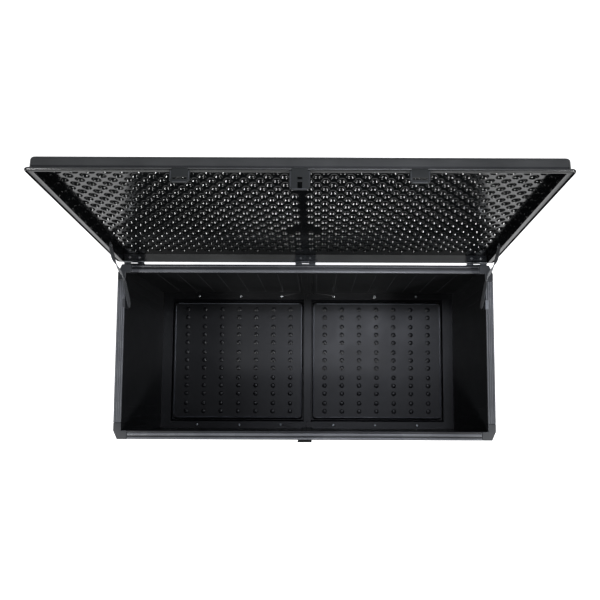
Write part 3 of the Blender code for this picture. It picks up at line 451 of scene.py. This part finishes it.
def lip_channel(bm):
    """Hollow the underside of the lid's lip, which is a thin wall turned down all round."""
    side, front = shell_high[0] - LIP_SIDE, shell_low[1] + LIP_FRONT
    turn_open = lid_to_world.to_3x3()
    cuts = (((side, 0, 0), (1, 0, 0)), ((-side, 0, 0), (1, 0, 0)), ((0, front, 0), (0, 1, 0)))
    for point, axis in cuts:
        bmesh.ops.bisect_plane(bm, geom=bm.verts[:] + bm.edges[:] + bm.faces[:], dist=1e-6,
                               plane_co=lid_to_world @ Vector(point), plane_no=turn_open @ Vector(axis))
    bm.normal_update()
    picked = []
    for face in bm.faces:
        centre = world_to_lid @ face.calc_center_median()
        low = (turn_closed @ face.normal).z < -0.99 and centre.z < shell_low[2] + 0.1 * MM
        if low and (abs(centre.x) > side or centre.y < front):
            picked.append(face)
    bmesh.ops.inset_region(bm, faces=picked, thickness=LIP_WALL, depth=-LIP_HOLLOW, use_boundary=True,
                           use_even_offset=True)


def inside_of_lid(normal, centre):
    """Faces of the lid that look inward or sideways, and the underside of its lip, which take painted
    shade.
    """
    way, place = turn_closed @ normal, world_to_lid @ centre
    at_side = abs(place.x) > shell_high[0] - LIP_SIDE
    at_front = place.y < shell_low[1] + LIP_REACH
    hollow = place.z > shell_low[2] + LIP_EDGE and way.z < -0.5 and (at_front or at_side)
    inward = way.x * place.x < 0 and abs(way.x) > 0.5
    lip = at_side and (way.z < -0.3 or abs(way.x) > 0.3)
    return hollow or inward or lip or abs(way.x) > 0.8 or (way.y > 0.5 and at_front)


# The shell's inward, sideways and lip faces take the dark inner skin as painted shade.
lid_moulding = soften("lid_outer_shell", 0.7, lid_shell, 2, 2.0, lid_skin,
                      inside_of_lid, lip_channel)
print("lid shell faces:", len(lid_moulding.data.polygons))

# %% [markdown]
# The latch plate and the two guide tabs hang from the lid's front edge, and the keeper stands
# below them on the front wall. They are the pieces that a hand touches, so they take a finer
# and slightly shinier grain than the walls.

# %% Latch plate, tabs and keeper
LATCH_ROUND_MM = 0.5
LATCH_SHORTEST_MM = 2.0
for name in ("lid_latch_plate", "lid_guide_tab_left", "lid_guide_tab_right", "latch_keeper"):
    softened.append(soften(name, LATCH_ROUND_MM, latch_resin, 2, LATCH_SHORTEST_MM))
print("softened mouldings:", len(softened))

# %% [markdown]
# The hinge leaves, pins, clips and screws are small and already true to shape, so they
# stay as they are and only take their metal.

# %% Dressing the hardware
def dress(name, material):
    node = nodes[name]
    node.data.materials.clear()
    node.data.materials.append(material)


for name in nodes:
    if "hinge_box_leaf" in name or "hinge_lid_leaf" in name or "hinge_pin" in name:
        dress(name, black_steel)
    elif "bracket" in name:
        dress(name, clip_steel)
    elif "screw" in name:
        dress(name, zinc_plate)
print("screws:", sum("screw" in n for n in nodes))

# %% [markdown]
# The inside of the lid is the second skin of a blow moulding. Pins in the tool push hundreds
# of small cups into it until they touch the outer skin, which makes two thin sheets as stiff as
# a thick one. The cups stand on a grid turned by 45 degrees. A displaced grid would blur their
# steep sides, so each cup is built from rings of points, a quarter at a time: a quarter fills
# the triangle between the cup's centre and two neighbouring plain places on the grid. A profile
# lists the cup's wall as shares of its radius and depth, from the brim to the middle.

# %% The dimpled skin of the lid
CUP_PITCH = 18.9 * MM
CUP_FIRST_X = 18.7 * MM
CUP_FIRST_Y = -12.5 * MM
CUP_RADIUS = 11.5 * MM
CUP_COLUMNS = 30
CUP_ROWS = 28
CUP_QUARTER_STEPS = 4
CUP_PROFILE = ((1.00, 0.00), (0.95, 0.10), (0.84, 0.40), (0.68, 0.69), (0.48, 0.88),
               (0.24, 0.97), (0.0, 1.0))
CUP_DEPTH = 8.0 * MM
LAST_CUP_RADIUS = 4.6 * MM
LAST_CUP_DEPTH = 3.0 * MM
LEFT_PLAIN = {(1, 10), (2, 9)}
SKIN_SIDE_GAP = 1.2 * MM
SKIN_TOP_GAP = 0.1 * MM
SKIN_CORNER = 4.2 * MM
SAME_PLACE = 1e-6


def skin_columns(reach):
    """Places of the grid's columns across the lid, from the left border to the right one."""
    half = [0.0] + [CUP_FIRST_X + CUP_PITCH * k for k in range(CUP_COLUMNS)]
    half.append(min(CUP_FIRST_X + CUP_PITCH * CUP_COLUMNS, reach))
    return [-x for x in reversed(half[1:])] + half


def quarter_cup(points, faces, centre, first, second, level, radius, depth):
    """Fill the triangle centre, first, second with a quarter of a cup, or flat if radius is 0."""
    start = len(points)
    steps = CUP_QUARTER_STEPS
    if not radius:
        points.append((*centre, level))
        for i in range(steps + 1):
            share = i / steps
            points.append((first[0] + (second[0] - first[0]) * share,
                           first[1] + (second[1] - first[1]) * share, level))
        faces.extend((start, start + 1 + i, start + 2 + i) for i in range(steps))
        return
    a0 = math.atan2(first[1] - centre[1], first[0] - centre[0])
    a1 = math.atan2(second[1] - centre[1], second[0] - centre[0])
    while a1 - a0 > math.pi:
        a1 -= math.tau
    while a1 - a0 < -math.pi:
        a1 += math.tau
    rings = [[(first[0] + (second[0] - first[0]) * i / steps,
               first[1] + (second[1] - first[1]) * i / steps, level) for i in range(steps + 1)]]
    for share, sink in CUP_PROFILE[:-1]:
        rings.append([(centre[0] + radius * share * math.cos(a0 + (a1 - a0) * i / steps),
                       centre[1] + radius * share * math.sin(a0 + (a1 - a0) * i / steps),
                       level + depth * sink) for i in range(steps + 1)])
    for ring in rings:
        points.extend(ring)
    points.append((*centre, level + depth))
    ring_size = steps + 1
    for r in range(len(rings) - 1):
        for i in range(steps):
            here = start + r * ring_size + i
            faces.append((here, here + 1, here + ring_size + 1, here + ring_size))
    last = start + (len(rings) - 1) * ring_size
    faces.extend((last + i, last + i + 1, len(points) - 1) for i in range(steps))


def dimpled_skin():
    """The inner skin as one closed sheet: cups inside, a plain border, and turned-up sides."""
    level = panel_low[2]
    top = panel_high[2] - SKIN_TOP_GAP
    columns = skin_columns(panel_high[0] - SKIN_SIDE_GAP)
    rows = [CUP_FIRST_Y - CUP_PITCH * m for m in range(CUP_ROWS + 1)]
    middle = len(columns) // 2
    points, faces, cups = [], [], 0
    for a in range(len(columns) - 1):
        for b in range(len(rows) - 1):
            corners = [(a, b), (a + 1, b), (a + 1, b + 1), (a, b + 1)]
            for i, (ca, cb) in enumerate(corners):
                k = abs(ca - middle)
                if (k + cb) % 2 == 0:
                    continue
                inside = 0 < k <= CUP_COLUMNS and 0 < cb < CUP_ROWS and (k, cb) not in LEFT_PLAIN
                near, far = corners[i - 1], corners[(i + 1) % 4]
                wide, deep = ((LAST_CUP_RADIUS, LAST_CUP_DEPTH) if k == CUP_COLUMNS
                              else (CUP_RADIUS, CUP_DEPTH))
                quarter_cup(points, faces, (columns[ca], rows[cb]),
                            (columns[near[0]], rows[near[1]]), (columns[far[0]], rows[far[1]]),
                            level, wide if inside else 0.0, deep)
                cups += inside
    bm = bmesh.new()
    verts = [bm.verts.new(p) for p in points]
    for face in faces:
        bm.faces.new([verts[i] for i in face])
    bmesh.ops.remove_doubles(bm, verts=bm.verts, dist=5e-6)
    rim = [e for e in bm.edges if e.is_boundary]
    x_out, y_low, y_high = panel_high[0], panel_low[1], panel_high[1]
    x_in, y_in_low, y_in_high = columns[-1], rows[-1], rows[0]
    border = bmesh.ops.extrude_edge_only(bm, edges=rim)["geom"]
    outer = [v for v in border if isinstance(v, bmesh.types.BMVert)]
    for v in outer:
        at_x = abs(abs(v.co.x) - x_in) < SAME_PLACE
        at_y = min(abs(v.co.y - y_in_low), abs(v.co.y - y_in_high)) < SAME_PLACE
        cut = SKIN_CORNER * (1 - math.sqrt(0.5)) if at_x and at_y else 0.0
        if at_x:
            v.co.x = math.copysign(x_out - cut, v.co.x)
        if at_y:
            v.co.y = y_low + cut if v.co.y < (y_low + y_high) / 2 else y_high - cut
    edge = [e for e in border if isinstance(e, bmesh.types.BMEdge) and e.is_boundary]
    side = bmesh.ops.extrude_edge_only(bm, edges=edge)["geom"]
    raised = [v for v in side if isinstance(v, bmesh.types.BMVert)]
    for v in raised:
        v.co.z = top
    loop = [e for e in side if isinstance(e, bmesh.types.BMEdge) and e.is_boundary]
    bmesh.ops.contextual_create(bm, geom=loop)
    bmesh.ops.recalc_face_normals(bm, faces=bm.faces)
    bmesh.ops.transform(bm, matrix=lid_to_world, verts=bm.verts)
    open_edges = sum(not e.is_manifold for e in bm.edges)
    made = mesh_object("lid_dimpled_skin", bm, lid_skin, 50)
    print("cups:", cups // 4, "open edges:", open_edges, "faces:", len(made.data.polygons))
    return made


skin = dimpled_skin()
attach(skin, "lid")
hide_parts("lid_inner_panel")

# %% [markdown]
# The floor of each half carries rows of low round studs, which keep cushions off any
# water and stiffen the tread. Each is a shallow dome. They are spun from one profile and
# sunk a hair into the tread, and their rows stand in groups of two and three.

# %% Studs on the floor
STUD_RADIUS = 8.8 * MM
STUD_RISE = 2.6 * MM
STUD_SIDES = 24
STUD_FIRST = 67.0 * MM
STUD_PITCH = 67.2 * MM
STUD_COLUMNS = 7
ROW_STEP = 31.0 * MM
GROUP_STEP = 37.5 * MM
ROW_GROUPS = (2, 3, 3, 3, 2)
DOME = ((1.0, -0.15), (1.0, 0.0), (0.93, 0.28), (0.80, 0.58), (0.60, 0.82), (0.34, 0.96))
JOINER_PROUD = 1.0 * MM
tread_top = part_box("base_centre_joiner")[1].z - JOINER_PROUD


def stud_rows():
    """Places of the rows along the tread, centred on zero."""
    rows, y = [], 0.0
    for group in ROW_GROUPS:
        for i in range(group):
            rows.append(y)
            y += ROW_STEP if i < group - 1 else GROUP_STEP
    middle = (rows[0] + rows[-1]) / 2
    return [r - middle for r in rows]


def add_dome(bm, x, y, base, radius, rise, sides, profile=DOME):
    """A closed dome. The profile is (share of radius, share of rise) from the foot up."""
    rings = []
    for share, height in profile:
        rings.append([bm.verts.new((x + radius * share * math.cos(math.tau * i / sides),
                                    y + radius * share * math.sin(math.tau * i / sides),
                                    base + rise * height)) for i in range(sides)])
    for low, high in zip(rings, rings[1:]):
        for i in range(sides):
            bm.faces.new((low[i], low[(i + 1) % sides], high[(i + 1) % sides], high[i]))
    top = bm.verts.new((x, y, base + rise))
    for i in range(sides):
        bm.faces.new((rings[-1][i], rings[-1][(i + 1) % sides], top))
    bm.faces.new(list(reversed(rings[0])))


for side, hand in ((-1, "left"), (1, "right")):
    bm = bmesh.new()
    for column in range(STUD_COLUMNS):
        for y in stud_rows():
            add_dome(bm, side * (STUD_FIRST + STUD_PITCH * column), y, tread_top, STUD_RADIUS,
                     STUD_RISE, STUD_SIDES)
    studs = mesh_object("floor_studs_" + hand, bm, floor_resin, 60)
    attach(studs, "base")
print("studs a side:", STUD_COLUMNS * len(stud_rows()), "tread at mm:", round(tread_top / MM, 2))

# %% [markdown]
# The top rails are extruded, and an extrusion carries fine beads along its whole length for
# almost nothing: they stiffen the rail and hide scratches. The lid closes a millimetre above
# the rail, so a bead stands only half a millimetre proud. The planks of the rear wall have a
# finer bead beside each groove, and each tread has one along its four edges.

# %% Beads on the rails, the rear wall and the tread
BEAD_RISE = 0.55 * MM
BEAD_STEPS = 8
BEAD_SINK = 0.3 * MM


def add_bead(bm, start, end, up, width, rise=BEAD_RISE):
    """A long low half-round bar, sunk a little into the surface it stands on."""
    start, end, up = Vector(start), Vector(end), Vector(up)
    across = (end - start).cross(up).normalized()
    rings = []
    for point in (start, end):
        ring = [bm.verts.new(point + across * (width / 2 * math.cos(math.pi * i / BEAD_STEPS))
                             + up * (rise * math.sin(math.pi * i / BEAD_STEPS)))
                for i in range(BEAD_STEPS + 1)]
        foot = [bm.verts.new(point + across * (width / 2 * s) - up * BEAD_SINK) for s in (-1, 1)]
        rings.append(ring + foot)
    count = len(rings[0])
    for i in range(count):
        bm.faces.new((rings[0][i], rings[0][(i + 1) % count], rings[1][(i + 1) % count], rings[1][i]))
    bm.faces.new(rings[0])
    bm.faces.new(list(reversed(rings[1])))


def finish_beads(name, bm, material, body):
    """Turn beads into a piece, and count them: each has one face more than BEAD_STEPS + 4."""
    bmesh.ops.recalc_face_normals(bm, faces=bm.faces)
    made = mesh_object(name, bm, material, 30)
    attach(made, body)
    return len(made.data.polygons) // (BEAD_STEPS + 5)


RAIL_END = 1.0 * MM
END_RAIL_BEADS = (("front_top_rail", 4.0 * MM, 5.6 * MM), ("front_top_rail", 16.0 * MM, 7.4 * MM),
                  ("rear_top_rail", 5.6 * MM, 9.0 * MM), ("rear_top_rail", 20.5 * MM, 2.4 * MM))
SIDE_RAIL_BEADS = (0.14, 0.40, 0.62, 0.86)
SIDE_RAIL_BEAD = 3.0 * MM
up = (0, 0, 1)
rail_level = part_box("front_top_rail")[1].z
bm = bmesh.new()
for name, inward, width in END_RAIL_BEADS:
    low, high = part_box(name)
    y = low.y + inward
    add_bead(bm, (low.x + RAIL_END, y, rail_level), (high.x - RAIL_END, y, rail_level), up, width)
for name in ("left_top_rail", "right_top_rail"):
    low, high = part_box(name)
    for share in SIDE_RAIL_BEADS:
        x = low.x + (high.x - low.x) * share
        start, end = (x, low.y + RAIL_END, rail_level), (x, high.y - RAIL_END, rail_level)
        add_bead(bm, start, end, up, SIDE_RAIL_BEAD)
# The rail beads take a lighter grey as a painted reflection.
beads = finish_beads("rail_beads", bm, bead_painted_reflection, "base")

PLANK_PITCH = 66.7 * MM
PLANK_FIRST = 32.0 * MM
PLANK_BEAD = 1.6 * MM
PLANK_BEAD_RISE = 0.7 * MM
PLANK_BEAD_BESIDE = 3.0 * MM
PLANK_BEAD_FOOT = 28.0 * MM
PLANK_BEAD_HEAD = 8.0 * MM
PLANK_BEAD_END = 6.0 * MM
PLANKS_A_SIDE = 8
wall_low, wall_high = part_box("rear_wall_right")
bm = bmesh.new()
foot, head = wall_low.z + PLANK_BEAD_FOOT, wall_high.z - PLANK_BEAD_HEAD
for k in range(PLANKS_A_SIDE):
    for side in (-1, 1):
        x = side * (PLANK_FIRST + PLANK_PITCH * k) + PLANK_BEAD_BESIDE
        if abs(x) < wall_high.x - PLANK_BEAD_END:
            start, end = (x, wall_low.y, foot), (x, wall_low.y, head)
            add_bead(bm, start, end, (0, -1, 0), PLANK_BEAD, PLANK_BEAD_RISE)
# The plank beads take the side rails' lighter grey as a painted highlight.
beads += finish_beads("rear_plank_beads", bm, resin_painted_sheen_y, "base")

TREAD_EDGE = 3.2 * MM
TREAD_EDGE_RISE = 0.9 * MM
TREAD_NEAR = 24.5 * MM
TREAD_FAR = 516.8 * MM
TREAD_REACH = 221.8 * MM
TREAD_CUT = 11.0 * MM
bm = bmesh.new()
for side in (-1, 1):
    near, far, reach = side * TREAD_NEAR, side * TREAD_FAR, TREAD_REACH
    cut = side * TREAD_CUT
    for x in (near, far):
        start, end = (x, -reach + TREAD_CUT, tread_top), (x, reach - TREAD_CUT, tread_top)
        add_bead(bm, start, end, up, TREAD_EDGE, TREAD_EDGE_RISE)
    for y in (-reach, reach):
        start, end = (near + cut, y, tread_top), (far - cut, y, tread_top)
        add_bead(bm, start, end, up, TREAD_EDGE, TREAD_EDGE_RISE)
# The tread beads take the lighter grey as a painted highlight along each edge.
beads += finish_beads("tread_beads", bm, tread_edge_painted_highlight, "base")
print("beads:", beads)

# %% [markdown]
# The latch plate and the two guide tabs are stiffened by a bead along the free edge and one down
# each side. They are placed on the closed lid, where each plate hangs straight down, and then
# carried round the hinge with it.

# %% Beads on the latch plate and tabs
PLATE_BEAD = 2.4 * MM
PLATE_BEAD_RISE = 0.9 * MM
PLATE_BEAD_IN = 2.6 * MM
PLATE_BEAD_UP = 2.2 * MM
PLATE_BEAD_HEAD = -2.0 * MM
PLATE_CORNER_X = 4.0 * MM
PLATE_CORNER_Z = 5.0 * MM


def add_lid_bead(bm, start, end):
    """A bead on the outer face of a hanging plate, given by places on the closed lid."""
    outward = lid_to_world.to_3x3() @ Vector((0, -1, 0))
    add_bead(bm, lid_to_world @ Vector(start), lid_to_world @ Vector(end), outward, PLATE_BEAD,
             PLATE_BEAD_RISE)


bm = bmesh.new()
for name in ("lid_latch_plate", "lid_guide_tab_left", "lid_guide_tab_right"):
    low, high = lid_box(name)
    left, right, face = low[0] + PLATE_BEAD_IN, high[0] - PLATE_BEAD_IN, low[1]
    foot, head = low[2] + PLATE_BEAD_UP, PLATE_BEAD_HEAD
    start, end = (left + PLATE_CORNER_X, face, foot), (right - PLATE_CORNER_X, face, foot)
    add_lid_bead(bm, start, end)
    for x in (left, right):
        add_lid_bead(bm, (x, face, foot + PLATE_CORNER_Z), (x, face, head))
# The plate beads take the side rails' lighter grey as a painted highlight.
print("plate beads:", finish_beads("lid_plate_beads", bm, resin_painted_sheen_y, "lid"))

# %% [markdown]
# Twelve pan-head screws hold the walls down to the ledge round the floor. A pan head is a low
# dome with a flat rim and a cross recess. The head is the shallow dome used for the studs,
# with a cross cut in by lowering the points that lie on it.

# %% Floor screws
SCREW_HEAD = 4.6 * MM
SCREW_RISE = 2.4 * MM
FLOOR_SCREW_X = (102.1 * MM, 262.6 * MM, 426.3 * MM)
FLOOR_SCREW_Y = 251.75 * MM
PAN_HEAD = ((1.0, -0.1), (1.0, 0.35), (0.9, 0.7), (0.7, 0.9), (0.45, 0.98), (0.2, 1.0))
CROSS_HALF = 0.16
CROSS_REACH = 0.62
CROSS_SINK = 0.45
HEAD_SIDES = 24


def add_screw_head(bm, x, y, base, radius, rise):
    before = set(bm.verts)
    add_dome(bm, x, y, base, radius, rise, HEAD_SIDES, PAN_HEAD)
    for v in set(bm.verts) - before:
        u, w = (v.co.x - x) / radius, (v.co.y - y) / radius
        on_arm = min(abs(u), abs(w)) < CROSS_HALF and max(abs(u), abs(w)) < CROSS_REACH
        if on_arm and v.co.z > base + rise * 0.5:
            v.co.z -= rise * CROSS_SINK


bm = bmesh.new()
for y in (-FLOOR_SCREW_Y, FLOOR_SCREW_Y):
    for x in FLOOR_SCREW_X:
        for side in (-1, 1):
            add_screw_head(bm, side * x, y, tread_top, SCREW_HEAD, SCREW_RISE)
floor_screws = mesh_object("floor_screws", bm, zinc_plate, 30)
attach(floor_screws, "base")
print("floor screws:", 4 * len(FLOOR_SCREW_X))

# %% [markdown]
# A flat stay of webbing on each side stops the lid from falling back. It is screwed inside the
# lid's side, passes over the rear corner, turns a little on itself and ends in a clip on the
# side rail. It is soft, so it can't belong to one body: it belongs to none, and is built as it
# hangs with the lid open.

# %% Lid stays
STAY_WIDTH = 25.0 * MM
STAY_THICK = 2.0 * MM
STAY_STEPS = 64
STAY_ACROSS = 10
STAY_TWIST_DEG = 42
STAY_TWIST_SPAN = (0.20, 0.64)
STAY_INWARD_SPAN = (0.16, 0.60)
STAY_TAIL = 10.0 * MM


def stay_path(side, hand):
    """The middle line of a stay, from its screw in the lid to its clip on the rail."""
    lid_screw = [sum(c) / 2 for c in zip(*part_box(hand + "_strap_lid_screw"))]
    rail_screw = [sum(c) / 2 for c in zip(*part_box(hand + "_strap_rail_screw"))]
    low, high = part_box(hand + "_lid_strap")
    outer = max(abs(low.x), abs(high.x)) - STAY_THICK / 2
    inner = min(abs(low.x), abs(high.x)) + STAY_THICK / 2
    top, foot = Vector((0, *lid_screw[1:])), Vector((0, *rail_screw[1:]))
    along = (foot - top).normalized()
    start, end = top - along * STAY_TAIL, foot + along * STAY_TAIL
    path = []
    for i in range(STAY_STEPS + 1):
        share = i / STAY_STEPS
        first, last = STAY_INWARD_SPAN
        blend = min(max((share - first) / (last - first), 0.0), 1.0)
        ease = blend * blend * (3 - 2 * blend)
        point = start.lerp(end, share)
        point.x = side * (outer + (inner - outer) * ease)
        path.append(point)
    return path, top, foot


def stay(side, hand):
    """Build one stay as a flat band along its path, twisted in its middle stretch."""
    path, top, foot = stay_path(side, hand)
    bm = bmesh.new()
    rings, marks, run = [], {}, 0.0
    for i, point in enumerate(path):
        if i:
            run += (point - path[i - 1]).length
        tangent = (path[min(i + 1, STAY_STEPS)] - path[max(i - 1, 0)]).normalized()
        across = tangent.cross(Vector((1, 0, 0))).normalized()
        normal = across.cross(tangent).normalized()
        share = i / STAY_STEPS
        first, last = STAY_TWIST_SPAN
        in_span = min(max((share - first) / (last - first), 0.0), 1.0)
        twist = math.radians(STAY_TWIST_DEG) * math.sin(math.pi * in_span) ** 2
        turn = Matrix.Rotation(side * twist, 3, tangent)
        across, normal = turn @ across, turn @ normal
        taper = min(share, 1 - share) * STAY_STEPS / 4
        half = STAY_WIDTH / 2 * math.sqrt(1 - (1 - min(taper, 1.0)) ** 2 * 0.9)
        ring = []
        for face_side in (1, -1):
            for j in range(STAY_ACROSS + 1):
                u = (1 - 2 * j / STAY_ACROSS) * face_side
                thin = STAY_THICK / 2 * (1.0 if abs(u) < 0.9 else 0.6)
                v = bm.verts.new(point + across * u * half + normal * thin * face_side)
                marks[v] = (u * half, run)
                ring.append(v)
        rings.append(ring)
    count = len(rings[0])
    for first, second in zip(rings, rings[1:]):
        for k in range(count):
            bm.faces.new((first[k], first[(k + 1) % count], second[(k + 1) % count], second[k]))
    bm.faces.new(rings[0])
    bm.faces.new(list(reversed(rings[-1])))
    bmesh.ops.recalc_face_normals(bm, faces=bm.faces)
    bm.verts.index_update()
    values = [marks[v] for v in bm.verts]
    made = mesh_object(hand + "_lid_stay", bm, webbing, 50)
    for name, column in (("band_across", 0), ("band_along", 1)):
        layer = made.data.attributes.new(name, "FLOAT", "POINT")
        layer.data.foreach_set("value", [v[column] for v in values])
    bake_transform(made)
    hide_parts(hand + "_lid_strap")
    return run


for side, hand in ((-1, "left"), (1, "right")):
    print(hand, "stay length in mm:", round(stay(side, hand) / MM))
